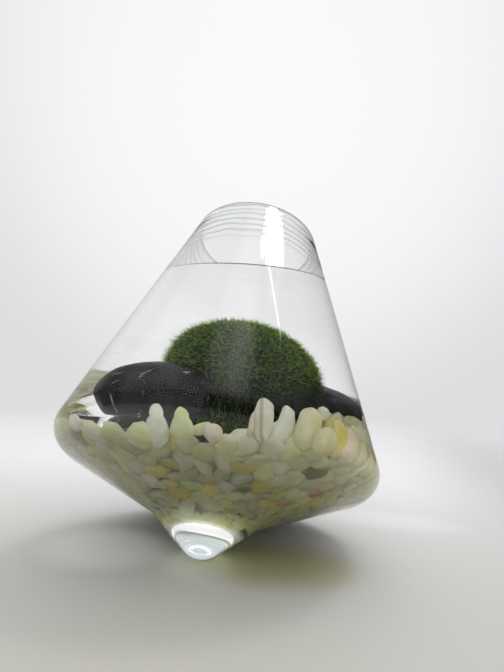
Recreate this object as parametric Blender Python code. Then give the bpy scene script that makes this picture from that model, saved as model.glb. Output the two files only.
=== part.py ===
"""Moss ball on dark pebbles and tumbled stone chips, under water in a spinning-top vase of clear glass.

The vase is a body of revolution about its own axis. It lies on its tip and on its belly, so the axis
leans towards +Y, and the water in it is level. The origin is the middle of the object's box, on the
surface below it.
"""

import math

import bmesh
import bpy
from mathutils import Matrix, Vector, noise
from mathutils.bvhtree import BVHTree

MM = 0.001

# The vase, in millimetres along its axis (AT) and away from it (RADIUS), from where the axis meets the floor.
# From the tip up: a ball, a cone, a hollow fillet, a shallow cone, the belly's edge and a long cone.
BELLY_RADIUS = 55.0
BELLY_EDGE_RADIUS = 5.42
BELLY_AT = 33.03
RIM_RADIUS = 26.2
RIM_AT = 130.86
LIP_AT = 131.6
WALL = 2.0
LOWER_CONE_SLOPE = math.radians(23.0)
TIP_CONE_SLOPE = math.radians(40.4)
TIP_CONE_RADIUS = 17.8
TIP_FILLET_RADIUS = 14.0
TIP_BALL_RADIUS = 8.53
INSIDE_BOWL_RADIUS = 70.0
LEAN = math.radians(28.449)
AROUND = 36
BELLY_STEPS = 4
FILLET_STEPS = 2
BOWL_STEPS = 2

WATER_LEVEL = 96.85

# Room between pieces, and the little more that a cutter takes. Anything thinner than a crumb is dropped.
GAP = 0.3
CUT_GAP = 0.36
CRUMB = 0.002

# Places below are in millimetres from where the vase's axis crosses the floor.
BALL_CENTRE = Vector((3.3, 25.4, 49.3))
BALL_HALF = Vector((21.0, 21.0, 21.0))
BALL_LOW_HALF = 17.0
BALL_LUMPS = 0.03
BALL_CELLS = 6
BALL_SEED = 3
LUMPS_AROUND = 1.4

# Dark pebbles: centre, half sizes, and turns about X, Y and Z in degrees.
PEBBLES = {
    "black_pebble_left": ((-12.6, 2.3, 44.6), (16.6, 10.6, 11.2), (0, 4, 12)),
    "black_pebble_right": ((15.0, 42.0, 35.6), (13.4, 11.0, 9.6), (0, 10, 25)),
}
PEBBLE_CELLS = 4
PEBBLE_LUMPS = 0.05

# The bed of chips is low behind and banked up against the near wall. The bank's foot and brow are so far
# from CHIP_UPRIGHT, and it fades out between the two places along Y.
BED_BANK_HEIGHT = 42.5
BED_FAR_HEIGHT = 35.5
BED_BANK_FOOT = 29.0
BED_BANK_BROW = 36.0
BED_BANK_FROM = -6.0
BED_BANK_TO = 16.0
BED_LUMPS = 2.0
BED_LUMP_SIZE = 7.0
BED_RINGS = (10.0, 20.0, BED_BANK_FOOT, BED_BANK_BROW, 80.0)
BED_SECTORS = 22
BED_FOOT_AT = -10.0

# Where chips meet the glass the bed is dented between them, at every other point of a net.
DENT = 2.6
DENT_STEP = 8.4
DENTS_UP_TO = 62.0

# Chips that stand along the near wall, those that touch the glass first. Each has its bearing from -Y round
# CHIP_UPRIGHT in degrees, its height, its width, length and thickness, the lean of its length in degrees, how
# much narrower its top is than its foot, and its colour.
CHIP_UPRIGHT = (3.0, 14.0)
CHIP_LUMPS = 0.10
CHIP_STEP = 0.25
CHIP_STEPS = 200
CHIP_SINK = 0.12
CHIP_SINKS = 36
CHIP_SEAT = 0.45
CHIPS = {
    "chip_broad_pale": (27.0, 44.2, 7.2, 14.4, 3.8, 84, 0.0, "milk"),
    "chip_white_tall": (-14.4, 45.8, 7.6, 12.4, 4.0, -3, 0.0, "milk"),
    "chip_green_round": (-1.6, 47.0, 7.0, 9.4, 3.8, 0, 0.05, "green"),
    "chip_vein": (30.6, 50.0, 5.6, 10.4, 3.6, -4, -0.2, "milk"),
    "chip_rose_round": (11.6, 46.0, 5.6, 6.6, 3.6, 0, 0.0, "rose"),
    "chip_cream_large": (47.6, 46.6, 8.4, 10.4, 4.4, 22, 0.1, "cream"),
    "chip_yellow_right": (59.6, 44.2, 9.2, 9.0, 4.0, 12, 0.0, "yellow"),
    "chip_cream_left": (-39.0, 42.2, 8.3, 9.6, 4.2, -20, 0.1, "cream"),
    "chip_moss_green": (-51.0, 42.0, 8.4, 9.0, 4.2, 0, 0.0, "green"),
    "chip_slim_pale": (21.2, 45.8, 3.2, 7.4, 2.6, 62, 0.2, "milk"),
    "chip_round_head": (39.6, 46.8, 6.4, 8.6, 3.4, 6, 0.5, "milk"),
    "chip_green_leaf": (6.2, 49.2, 3.6, 6.2, 2.4, 48, 0.45, "green"),
    "chip_green_left": (-28.6, 42.4, 6.8, 9.4, 4.0, 0, 0.1, "green"),
    "chip_yellow_left": (-9.0, 42.6, 5.6, 7.2, 3.6, 12, 0.0, "yellow"),
    "chip_grey_blue": (-49.0, 46.4, 4.6, 8.6, 3.2, 72, 0.1, "milk"),
    "chip_needle": (25.6, 49.8, 1.8, 5.6, 1.6, 6, 0.3, "rose"),
    "chip_cream_far": (57.6, 48.0, 5.4, 5.6, 3.4, 0, 0.0, "milk"),
    "chip_spotted": (65.0, 45.6, 4.8, 6.2, 3.4, 60, 0.0, "rose"),
    "chip_pale_right": (70.5, 41.4, 7.0, 8.6, 4.0, 8, 0.0, "cream"),
}

COLOURS = {
    "glass": ((0.90, 0.94, 0.93), 0.02),
    "water": ((0.80, 0.90, 0.92), 0.02),
    "moss": ((0.05, 0.11, 0.02), 0.90),
    "black_stone": ((0.015, 0.015, 0.016), 0.25),
    "gravel": ((0.50, 0.50, 0.36), 0.45),
    "milk": ((0.70, 0.73, 0.66), 0.35),
    "cream": ((0.72, 0.69, 0.50), 0.35),
    "green": ((0.45, 0.52, 0.33), 0.35),
    "yellow": ((0.72, 0.60, 0.16), 0.35),
    "rose": ((0.58, 0.48, 0.42), 0.35),
}


def clear_scene():
    for thing in list(bpy.data.objects):
        bpy.data.objects.remove(thing, do_unlink=True)


def material(name):
    colour, roughness = COLOURS[name]
    made = bpy.data.materials.get(name) or bpy.data.materials.new(name)
    made.use_nodes = True
    shader = made.node_tree.nodes["Principled BSDF"]
    shader.inputs["Base Color"].default_value = (*colour, 1.0)
    shader.inputs["Roughness"].default_value = roughness
    shader.inputs["Metallic"].default_value = 0.0
    if name in ("glass", "water"):
        shader.inputs["Transmission Weight"].default_value = 1.0
    return made


def add_object(name, bm, colour):
    mesh = bpy.data.meshes.new(name)
    bm.to_mesh(mesh)
    bm.free()
    mesh.shade_smooth()
    mesh.set_sharp_from_angle(angle=math.radians(40))
    mesh.materials.append(material(colour))
    made = bpy.data.objects.new(name, mesh)
    bpy.context.collection.objects.link(made)
    return made


# Outline of the vase, as straight lines that touch it one after another


def unit(angle):
    return Vector((math.cos(angle), math.sin(angle)))


def down(slope):
    """Direction square to a cone that rises outwards at this slope, facing down and out."""
    return slope - math.pi / 2


def belly_centre():
    return Vector((BELLY_RADIUS - BELLY_EDGE_RADIUS, BELLY_AT))


def upper_cone_angle():
    """Direction that the upper cone faces: it touches the belly's edge and ends at the rim."""
    to_rim = Vector((RIM_RADIUS, RIM_AT)) - belly_centre()
    return math.atan2(to_rim.y, to_rim.x) - math.acos(BELLY_EDGE_RADIUS / to_rim.length)


def tip_cone_corner():
    """Where the lower cone and the tip's cone would meet without the fillet between them."""
    start = belly_centre() + BELLY_EDGE_RADIUS * unit(down(LOWER_CONE_SLOPE))
    height = start.y + (TIP_CONE_RADIUS - start.x) * math.tan(LOWER_CONE_SLOPE)
    return Vector((TIP_CONE_RADIUS, height))


def tip_ball_centre():
    corner = tip_cone_corner()
    foot = corner.y - corner.x * math.tan(TIP_CONE_SLOPE)
    return Vector((0.0, foot + TIP_BALL_RADIUS / math.cos(TIP_CONE_SLOPE)))


def fillet_centre():
    corner = tip_cone_corner()
    along = TIP_FILLET_RADIUS * math.tan((TIP_CONE_SLOPE - LOWER_CONE_SLOPE) / 2)
    touch = corner + along * Vector((math.cos(LOWER_CONE_SLOPE), math.sin(LOWER_CONE_SLOPE)))
    return touch + TIP_FILLET_RADIUS * unit(down(LOWER_CONE_SLOPE))


def tip_lines():
    """The tip's ball, with one of its flats facing the floor."""
    for slope in (0.0, LEAN / 2, LEAN):
        facing = down(slope)
        yield facing, tip_ball_centre() + TIP_BALL_RADIUS * unit(facing)


def foot_lines():
    """The tip's cone, the fillet and the lower cone."""
    for step in range(FILLET_STEPS + 1):
        slope = TIP_CONE_SLOPE + (LOWER_CONE_SLOPE - TIP_CONE_SLOPE) * step / FILLET_STEPS
        facing = down(slope)
        yield facing, fillet_centre() - TIP_FILLET_RADIUS * unit(facing)


def belly_lines():
    """The belly's edge, with one of its flats facing the floor, up to the upper cone."""
    for step in range(BELLY_STEPS + 1):
        facing = down(LEAN) + (upper_cone_angle() - down(LEAN)) * step / BELLY_STEPS
        yield facing, belly_centre() + BELLY_EDGE_RADIUS * unit(facing)


def outline(lines):
    """Corners where each line meets the next."""
    corners = []
    for (first, a), (second, b) in zip(lines, lines[1:]):
        n, m = unit(first), unit(second)
        p, q = n.dot(a), m.dot(b)
        across = n.x * m.y - n.y * m.x
        corners.append(Vector(((p * m.y - q * n.y) / across, (q * n.x - p * m.x) / across)))
    return corners


def level(height):
    return math.pi / 2, Vector((0.0, height))


def outer_outline():
    lines = [*tip_lines(), *foot_lines(), *belly_lines(), level(LIP_AT)]
    return outline(lines)


def inner_lines():
    """The hollow's rounded floor, lower cone and belly, as lines a wall's thickness further out."""
    cone = [*foot_lines()][-1]
    n = unit(cone[0])
    reach = INSIDE_BOWL_RADIUS + WALL
    centre = Vector((0.0, (n.dot(cone[1]) - reach) / n.y))
    for step in range(BOWL_STEPS):
        facing = down(LOWER_CONE_SLOPE * step / BOWL_STEPS)
        yield facing, centre + reach * unit(facing)
    yield cone
    yield from belly_lines()


def inner_outline(inset, top):
    """The hollow up to a height on the axis, set in from the vase's outside."""
    lines = [(facing, at - inset * unit(facing)) for facing, at in inner_lines()]
    return outline([*lines, level(top)])


def turned(outer, inner=()):
    """Body of revolution whose flats touch the round one; with an inner outline it is a vessel."""
    bm = bmesh.new()
    corners = [*outer, *reversed(inner)]
    widen = 1 / math.cos(math.pi / AROUND)
    turns = [math.tau * (k + 0.5) / AROUND for k in range(AROUND)]
    rings = [[bm.verts.new((r * widen * math.cos(t), r * widen * math.sin(t), s)) for t in turns]
             for r, s in corners]
    for low, high in zip(rings, rings[1:]):
        for k in range(AROUND):
            after = (k + 1) % AROUND
            bm.faces.new((low[k], low[after], high[after], high[k]))
    for ring in (rings[0], rings[-1]):
        bm.faces.new(ring)
    bmesh.ops.recalc_face_normals(bm, faces=bm.faces)
    bmesh.ops.scale(bm, vec=(MM, MM, MM), verts=bm.verts)
    return bm


def leaning():
    return Matrix.Rotation(-LEAN, 4, "X")


def glass_vase():
    bm = turned(outer_outline(), inner_outline(WALL, LIP_AT))
    vase = add_object("glass_vase", bm, "glass")
    vase.rotation_euler = (-LEAN, 0, 0)
    return vase


def hollow(name, inset, colour):
    """The space inside the glass, past the water's level, as a solid."""
    bm = turned(inner_outline(WALL + inset, RIM_AT))
    bmesh.ops.transform(bm, matrix=leaning(), verts=bm.verts)
    return add_object(name, bm, colour)


def netted(corners):
    """An outline with points added along it, a dent's step apart at most, as far up as the dents go."""
    points = [corners[0]]
    for a, b in zip(corners, corners[1:]):
        share = min(1.0, (DENTS_UP_TO - a.y) / (b.y - a.y))
        steps = math.ceil(share * (b - a).length / DENT_STEP)
        points.extend(a.lerp(b, share * step / steps) for step in range(1, steps + 1))
    return [*points, corners[-1]]


def dented_hollow(name, inset, colour):
    """The space inside the glass as packed chips fill it, with dents between them."""
    corners = netted(inner_outline(WALL + inset, RIM_AT))
    bm = turned(corners)
    bm.normal_update()
    net = [(ring, k) for ring in range(1, len(corners) - 1) for k in range(AROUND)]
    bm.verts.ensure_lookup_table()
    dents = [bm.verts[ring * AROUND + k] for ring, k in net if (ring + k) % 2]
    moved = [vert.co - DENT * MM * vert.normal for vert in dents]
    for vert, place in zip(dents, moved):
        vert.co = place
    bmesh.ops.triangulate(bm, faces=bm.faces)
    bmesh.ops.transform(bm, matrix=leaning(), verts=bm.verts)
    return add_object(name, bm, colour)


# Stones and the ball: a cube's grid blown up to a ball, lumped and stretched


def rounded(cells, lumps, seed):
    bm = bmesh.new()
    bmesh.ops.create_cube(bm, size=2.0)
    bmesh.ops.subdivide_edges(bm, edges=bm.edges, cuts=cells - 1, use_grid_fill=True)
    return lumped(bm, lumps, seed)


def lumped(bm, lumps, seed):
    for vert in bm.verts:
        facing = vert.co.normalized()
        place = facing * LUMPS_AROUND + Vector((seed * 7.3, seed, 0))
        vert.co = facing * (1 + lumps * noise.noise(place))
    return bm


def turn_of(degrees):
    x, y, z = (math.radians(value) for value in degrees)
    return Matrix.Rotation(z, 4, "Z") @ Matrix.Rotation(y, 4, "Y") @ Matrix.Rotation(x, 4, "X")


def placed(bm, centre, half, turn):
    move = Matrix.Translation(Vector(centre) * MM) @ turn @ Matrix.Diagonal((*(Vector(half) * MM), 1.0))
    bmesh.ops.transform(bm, matrix=move, verts=bm.verts)
    return bm


def pebble(name, grow=0.0):
    centre, half, degrees = PEBBLES[name]
    bm = rounded(PEBBLE_CELLS, PEBBLE_LUMPS, len(name))
    half = [value + grow for value in half]
    return placed(bm, centre, half, turn_of(degrees))


def ball(grow=0.0):
    """The ball rests on its flatter underside."""
    bm = rounded(BALL_CELLS, BALL_LUMPS, BALL_SEED)
    for vert in bm.verts:
        if vert.co.z < 0:
            vert.co.z *= BALL_LOW_HALF / BALL_HALF.z
    return placed(bm, BALL_CENTRE, [value + grow for value in BALL_HALF], Matrix.Identity(4))


def chip(name, out, drop, grow=0.0):
    """A chip on edge with its flat side to the glass, so far out from the upright and so much lower."""
    bearing, height, width, length, thick, lean, taper, _ = CHIPS[name]
    bm = bmesh.new()
    bmesh.ops.create_icosphere(bm, subdivisions=2, radius=1.0)
    lumped(bm, CHIP_LUMPS, len(name) + width)
    for vert in bm.verts:
        vert.co.x *= 1 - taper * vert.co.z
    bearing = math.radians(bearing)
    outwards = Vector((math.sin(bearing), -math.cos(bearing), 0.0))
    centre = Vector((*CHIP_UPRIGHT, height - drop)) + outwards * out
    turn = Matrix.Rotation(bearing, 4, "Z") @ Matrix.Rotation(math.radians(lean), 4, "Y")
    half = [value / 2 + grow for value in (width, thick, length)]
    return placed(bm, centre, half, turn)


# Setting each chip down as near the glass as it goes


def inside_glass(point):
    """Whether a point, in metres, is inside the hollow with room to spare."""
    upright = leaning().inverted() @ point / MM
    at = Vector((math.hypot(upright.x, upright.y), upright.z))
    return all(unit(facing).dot(at - touch) < -WALL - GAP for facing, touch in inner_lines())


def tree_of(bm):
    bm.normal_update()
    bm.faces.ensure_lookup_table()
    return BVHTree.FromBMesh(bm)


def clear_of(bm, trees):
    own = tree_of(bm)
    return not any(own.overlap(tree) for tree in trees)


def settle(name, trees, bed_tree):
    """The outermost place where a chip fits inside the glass, clears the rest and stands on something."""
    for sunk in range(CHIP_SINKS):
        drop = sunk * CHIP_SINK
        for step in range(CHIP_STEPS):
            out = BELLY_RADIUS - step * CHIP_STEP
            bm = chip(name, out, drop, GAP)
            fits = all(inside_glass(vert.co) for vert in bm.verts) and clear_of(bm, trees)
            bm.free()
            if fits:
                break
        bm = chip(name, out, drop, CHIP_SEAT)
        stands = fits and not clear_of(bm, [*trees, bed_tree])
        bm.free()
        if stands:
            return out, drop
    raise ValueError(f"no room for {name}")


def place_chips(trees, bed_tree):
    places = {}
    for name in CHIPS:
        places[name] = settle(name, trees, bed_tree)
        trees.append(tree_of(chip(name, *places[name])))
    return places


# The bed and the water fill what is left


def ease(value, start, end):
    """Rises smoothly from 0 at the start to 1 at the end."""
    share = min(max((value - start) / (end - start), 0.0), 1.0)
    return share * share * (3 - 2 * share)


def bed_height(x, y):
    out = math.dist((x, y), CHIP_UPRIGHT)
    bank = ease(out, BED_BANK_FOOT, BED_BANK_BROW) * ease(-y, -BED_BANK_TO, -BED_BANK_FROM)
    height = BED_FAR_HEIGHT + (BED_BANK_HEIGHT - BED_FAR_HEIGHT) * bank
    return height + BED_LUMPS * noise.noise(Vector((x, y, 0)) / BED_LUMP_SIZE)


def bed_ring(bm, out, raised):
    ring = []
    for sector in range(BED_SECTORS):
        bearing = math.tau * sector / BED_SECTORS
        x = CHIP_UPRIGHT[0] + out * math.sin(bearing)
        y = CHIP_UPRIGHT[1] - out * math.cos(bearing)
        ring.append(bm.verts.new((x, y, bed_height(x, y) + raised)))
    return ring


def heap(name, raised):
    """All the space under the bed's top, as a drum wider than the vase."""
    bm = bmesh.new()
    rings = [bed_ring(bm, out, raised) for out in BED_RINGS]
    foot = bed_ring(bm, BED_RINGS[-1], raised)
    for vert in foot:
        vert.co.z = BED_FOOT_AT
    rings.append(foot)
    for inner, outer in zip(rings, rings[1:]):
        for k in range(BED_SECTORS):
            after = (k + 1) % BED_SECTORS
            bm.faces.new((inner[k], outer[k], outer[after]))
            bm.faces.new((inner[k], outer[after], inner[after]))
    bm.faces.new(foot)
    middle = bm.verts.new((*CHIP_UPRIGHT, bed_height(*CHIP_UPRIGHT) + raised))
    for k in range(BED_SECTORS):
        bm.faces.new((middle, rings[0][k], rings[0][(k + 1) % BED_SECTORS]))
    bmesh.ops.recalc_face_normals(bm, faces=bm.faces)
    bmesh.ops.scale(bm, vec=(MM, MM, MM), verts=bm.verts)
    return add_object(name, bm, "gravel")


def headspace(name):
    """Everything above the water's level."""
    bm = bmesh.new()
    side = 2 * RIM_AT
    bmesh.ops.create_cube(bm, size=side)
    bmesh.ops.translate(bm, vec=(0, 0, WATER_LEVEL + side / 2), verts=bm.verts)
    bmesh.ops.scale(bm, vec=(MM, MM, MM), verts=bm.verts)
    return add_object(name, bm, "water")


def carve(solid, operation, cutters):
    """Cuts with each cutter in turn, and keeps the largest piece of what is left."""
    for cutter in cutters:
        cut = solid.modifiers.new(cutter.name, "BOOLEAN")
        cut.operation = operation
        cut.solver = "EXACT"
        cut.object = cutter
    ready = solid.evaluated_get(bpy.context.evaluated_depsgraph_get())
    bm = bmesh.new()
    bm.from_mesh(ready.to_mesh())
    ready.to_mesh_clear()
    solid.modifiers.clear()
    keep_largest(bm)
    bm.to_mesh(solid.data)
    bm.free()


def keep_largest(bm):
    """Drops the crumbs that a cut leaves, so that the solid is one body."""
    bmesh.ops.remove_doubles(bm, verts=bm.verts, dist=CRUMB * MM)
    bmesh.ops.triangulate(bm, faces=bm.faces)
    unseen = set(bm.faces)
    pieces = []
    while unseen:
        front = [unseen.pop()]
        piece = list(front)
        while front:
            found = neighbours(front.pop(), unseen)
            unseen.difference_update(found)
            piece.extend(found)
            front.extend(found)
        pieces.append(piece)
    pieces.sort(key=len)
    for piece in pieces[:-1]:
        bmesh.ops.delete(bm, geom=piece, context="FACES")


def neighbours(face, unseen):
    """Unseen faces that share an edge with this one. An edge of more than two faces joins nothing."""
    sides = [side for side in face.edges if len(side.link_faces) == 2]
    return {other for side in sides for other in side.link_faces if other in unseen}


def stand_on_floor(vase, things):
    """Hangs everything on an empty, moved so that the vase's box is centred along Y."""
    bpy.context.view_layer.update()
    along = [(vase.matrix_world @ vert.co).y for vert in vase.data.vertices]
    stand = bpy.data.objects.new("floor_under_the_middle", None)
    bpy.context.collection.objects.link(stand)
    stand.location = (0, -(min(along) + max(along)) / 2, 0)
    for thing in things:
        thing.parent = stand


def main():
    clear_scene()
    vase = glass_vase()
    moss = add_object("marimo_ball", ball(), "moss")
    stones = [add_object(name, pebble(name), "black_stone") for name in PEBBLES]
    rooms = [add_object(f"{name}_room", pebble(name, CUT_GAP), "black_stone") for name in PEBBLES]
    carve(moss, "DIFFERENCE", rooms)
    rooms.append(add_object("ball_room", ball(CUT_GAP), "moss"))

    bed_top = heap("bed_top", 0.0)
    bm = bmesh.new()
    bm.from_mesh(bed_top.data)
    places = place_chips([tree_of(ball()), *(tree_of(pebble(name)) for name in PEBBLES)], tree_of(bm))
    bm.free()
    chips = []
    for name, place in places.items():
        colour = CHIPS[name][-1]
        chips.append(add_object(name, chip(name, *place), colour))
        rooms.append(add_object(f"{name}_room", chip(name, *place, CUT_GAP), colour))

    bed = dented_hollow("gravel_bed", GAP, "gravel")
    carve(bed, "INTERSECT", [bed_top])
    carve(bed, "DIFFERENCE", rooms)

    water = hollow("water", GAP, "water")
    bed_room = heap("bed_room", GAP)
    above = headspace("above_water")
    carve(water, "DIFFERENCE", [above, bed_room, *rooms])

    for cutter in [*rooms, bed_top, bed_room, above]:
        bpy.data.objects.remove(cutter, do_unlink=True)
    stand_on_floor(vase, [vase, moss, bed, water, *stones, *chips])


main()
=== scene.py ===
import math

import bmesh
import bpy
import numpy as np
from mathutils import Euler, Matrix, Vector, noise
from mathutils.bvhtree import BVHTree


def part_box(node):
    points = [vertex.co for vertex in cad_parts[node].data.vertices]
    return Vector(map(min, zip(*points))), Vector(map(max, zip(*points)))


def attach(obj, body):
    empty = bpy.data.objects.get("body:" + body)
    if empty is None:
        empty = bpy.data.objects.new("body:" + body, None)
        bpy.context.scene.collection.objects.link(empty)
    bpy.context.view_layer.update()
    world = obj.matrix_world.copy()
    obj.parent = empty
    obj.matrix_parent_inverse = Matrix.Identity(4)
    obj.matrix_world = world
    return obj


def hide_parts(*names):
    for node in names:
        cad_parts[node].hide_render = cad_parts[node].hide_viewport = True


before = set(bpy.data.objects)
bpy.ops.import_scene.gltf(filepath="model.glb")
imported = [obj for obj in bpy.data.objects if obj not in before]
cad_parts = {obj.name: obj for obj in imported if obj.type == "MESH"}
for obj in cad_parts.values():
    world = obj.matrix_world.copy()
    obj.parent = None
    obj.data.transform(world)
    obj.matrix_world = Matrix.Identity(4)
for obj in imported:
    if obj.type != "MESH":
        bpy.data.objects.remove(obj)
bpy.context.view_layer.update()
mm = 0.001
print("solids loaded")


# One socket of a node, so that sums on values add their Math nodes
class Socket:
    def __init__(self, maker, link):
        self.maker = maker
        self.link = link

    def other(self, name):
        return Socket(self.maker, self.link.node.outputs[name])

    def maths(self, operation, *values):
        inputs = {index: value for index, value in enumerate(values)}
        return self.maker.add("ShaderNodeMath", {"operation": operation}, inputs)

    def __add__(self, value):
        return self.maths("ADD", self, value)

    def __radd__(self, value):
        return self.maths("ADD", value, self)

    def __sub__(self, value):
        return self.maths("SUBTRACT", self, value)

    def __rsub__(self, value):
        return self.maths("SUBTRACT", value, self)

    def __mul__(self, value):
        return self.maths("MULTIPLY", self, value)

    def __rmul__(self, value):
        return self.maths("MULTIPLY", value, self)

    def __truediv__(self, value):
        return self.maths("DIVIDE", self, value)

    def __rtruediv__(self, value):
        return self.maths("DIVIDE", value, self)

    def __pow__(self, value):
        return self.maths("POWER", self, value)

    def __mod__(self, value):
        return self.maths("FLOORED_MODULO", self, value)

    def __gt__(self, value):
        return self.maths("GREATER_THAN", self, value)

    def __lt__(self, value):
        return self.maths("LESS_THAN", self, value)

    def most(self, value):
        return self.maths("MAXIMUM", self, value)

    def floor(self):
        return self.maths("FLOOR", self)

    def sine(self):
        return self.maths("SINE", self)

    def cosine(self):
        return self.maths("COSINE", self)

    # Rises smoothly from 0 to 1 between two values
    def ease(self, start, end):
        inputs = {"Value": self, "From Min": start, "From Max": end}
        return self.maker.add("ShaderNodeMapRange", {"interpolation_type": "SMOOTHSTEP"}, inputs)

    # What a geometry node makes of this geometry
    def then(self, kind, **inputs):
        return self.maker.add("GeometryNode" + kind, {}, {"Geometry": self, **inputs})


# Adds nodes to one tree
class Maker:
    def __init__(self, tree):
        self.tree = tree

    def add(self, kind, settings=(), inputs=(), output=0):
        node = self.tree.nodes.new(kind)
        for name, value in dict(settings).items():
            if name == "stops":
                ramp = node.color_ramp.elements
                while len(ramp) < len(value):
                    ramp.new(1.0)
                for stop, (place, colour) in zip(ramp, value):
                    stop.position = place
                    stop.color = (*colour, 1.0)
            else:
                setattr(node, name, value)
        for key, value in dict(inputs).items():
            if isinstance(value, Socket):
                self.tree.links.new(value.link, node.inputs[key])
            elif value is not None:
                node.inputs[key].default_value = value
        return Socket(self, node.outputs[output]) if node.outputs else None

    def vector(self, operation, *values, output=0):
        inputs = {index: value for index, value in enumerate(values)}
        return self.add("ShaderNodeVectorMath", {"operation": operation}, inputs, output)

    def mixed(self, factor, first, second):
        colours = [(*value, 1.0) if isinstance(value, tuple) else value for value in (first, second)]
        inputs = {0: factor, 6: colours[0], 7: colours[1]}
        return self.add("ShaderNodeMix", {"data_type": "RGBA"}, inputs, 2)

    def noise(self, place, scale, detail=3.0, roughness=0.5):
        inputs = {"Vector": place, "Scale": scale, "Detail": detail, "Roughness": roughness}
        return self.add("ShaderNodeTexNoise", {}, inputs)

    def bump(self, height, strength, distance):
        return self.add("ShaderNodeBump", {}, {"Strength": strength, "Distance": distance, "Height": height})

    def place(self):
        return self.add("ShaderNodeTexCoord").other("Object")

    def joined(self, x, y=0, z=0):
        return self.add("ShaderNodeCombineXYZ", {}, {0: x, 1: y, 2: z})

    def split(self, vector):
        sides = self.add("ShaderNodeSeparateXYZ", {}, {0: vector})
        return sides, sides.other("Y"), sides.other("Z")

    def attribute(self, name, output="Fac"):
        return self.add("ShaderNodeAttribute", {"attribute_name": name}).other(output)

    def stored(self, geometry, name, value, kind="FLOAT", domain="POINT"):
        inputs = {"Geometry": geometry, "Name": name, "Value": value}
        return self.add("GeometryNodeStoreNamedAttribute", {"data_type": kind, "domain": domain}, inputs)


def plainMaterial(name, uniform):
    made = bpy.data.materials.new(name)
    made.use_nodes = True
    shader = made.node_tree.nodes["Principled BSDF"]
    for socket, value in uniform.items():
        shader.inputs[socket].default_value = value
    return made, Maker(made.node_tree), shader


def feed(maker, shader, links):
    for socket, value in links.items():
        maker.tree.links.new(value.link, shader.inputs[socket])


# Mixes a second shader into a material's first one
def mixShaders(maker, shader, second, factor):
    mix = maker.add("ShaderNodeMixShader", {}, {0: factor, 1: Socket(maker, shader.outputs[0]), 2: second})
    maker.tree.links.new(mix.link, maker.tree.nodes["Material Output"].inputs[0])


def inMm(lengths):
    return [length * mm for length in lengths]


def linked(name, mesh):
    made = bpy.data.objects.new(name, mesh)
    bpy.context.scene.collection.objects.link(made)
    return made


def geometryTree(name, inputs):
    tree = bpy.data.node_groups.new(name, "GeometryNodeTree")
    tree.interface.new_socket("Geometry", in_out="INPUT", socket_type="NodeSocketGeometry")
    for label, kind in inputs.items():
        tree.interface.new_socket(label, in_out="INPUT", socket_type="NodeSocket" + kind)
    tree.interface.new_socket("Geometry", in_out="OUTPUT", socket_type="NodeSocketGeometry")
    maker = Maker(tree)
    start = maker.add("NodeGroupInput")
    return tree, maker, start


def closeTree(maker, geometry):
    end = maker.tree.nodes.new("NodeGroupOutput")
    maker.tree.links.new(geometry.link, end.inputs[0])


# Runs a tree on a mesh and keeps what comes out as a plain mesh
def grown(name, baseMesh, tree, values):
    base = linked(name + "Base", baseMesh)
    modifier = base.modifiers.new(tree.name, "NODES")
    modifier.node_group = tree
    for item in tree.interface.items_tree:
        if item.item_type == "SOCKET" and item.in_out == "INPUT" and item.name in values:
            modifier[item.identifier] = values[item.name]
    ready = base.evaluated_get(bpy.context.evaluated_depsgraph_get())
    mesh = bpy.data.meshes.new_from_object(ready)
    base.modifiers.remove(modifier)
    bpy.data.objects.remove(base)
    dropEmptySlots(mesh)
    return linked(name, mesh)


def dropEmptySlots(mesh):
    slots = np.empty(len(mesh.polygons), np.int32)
    mesh.polygons.foreach_get("material_index", slots)
    used = [index for index in np.unique(slots) if mesh.materials[index]]
    kept = [mesh.materials[index] for index in used]
    mesh.materials.clear()
    for material in kept:
        mesh.materials.append(material)
    mesh.polygons.foreach_set("material_index", np.searchsorted(used, slots).astype(np.int32))


def pointMesh(name, points, attributes):
    mesh = bpy.data.meshes.new(name)
    mesh.from_pydata([tuple(point) for point in points], [], [])
    for label, values in attributes.items():
        values = np.asarray(values, float)
        kind = "FLOAT_VECTOR" if values.ndim == 2 else "FLOAT"
        layer = mesh.attributes.new(label, kind, "POINT")
        layer.data.foreach_set("vector" if values.ndim == 2 else "value", values.ravel())
    return mesh


def pointsOf(mesh):
    places = np.empty(len(mesh.vertices) * 3)
    mesh.vertices.foreach_get("co", places)
    return places.reshape(-1, 3)


# Millimetres along the vase's axis and away from it, from where the axis meets the table
vase = {
    "bellyRadius": 55.0,
    "bellyEdge": 5.42,
    "bellyAt": 33.03,
    "rimRadius": 26.2,
    "rimAt": 130.86,
    "wall": 2.0,
    "lowerSlope": math.radians(23.0),
    "tipSlope": math.radians(40.4),
    "tipConeRadius": 17.8,
    "tipFillet": 14.0,
    "tipBall": 8.53,
    "bowlRadius": 70.0,
    "lean": math.radians(28.449),
    "footY": -26.069,
    "around": 240,
    "waveHeight": 0.09,
    "waveSpacing": 4.3,
    "waveFrom": 101.0,
    "waveTo": 128.0,
    "waveFades": (12.0, 4.0),
    "waveUnrest": 9,
    "waveDrift": 60,
    "wavePitch": 1.1,
    "steps": {"tip": 10, "fillet": 8, "edge": 20, "floor": 12, "cone": 56, "lip": 10},
}
vaseFoot = (0.0, vase["footY"] * mm, 0.0)
vaseTurn = Matrix.Rotation(vase["lean"], 3, "X")  # turns the leaning vase upright
water = {
    "level": 95.75,
    "rise": 1.1,  # how far the edge is drawn up the glass, and how far from it that dies away
    "reach": 1.5,
    "fromGlass": 0.03,
    "rings": 10,
    "ringsTo": 4.5,  # times the reach
    "crowding": 1.6,
    "levelling": 4,
    # how many rings of the edge carry the painted shade
    "paintedShadeRings": 5,
}


def arc(centre, radius, start, end, steps):
    angles = np.linspace(start, end, steps + 1)
    return [(centre[0] + radius * math.cos(a), centre[1] + radius * math.sin(a)) for a in angles]


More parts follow.
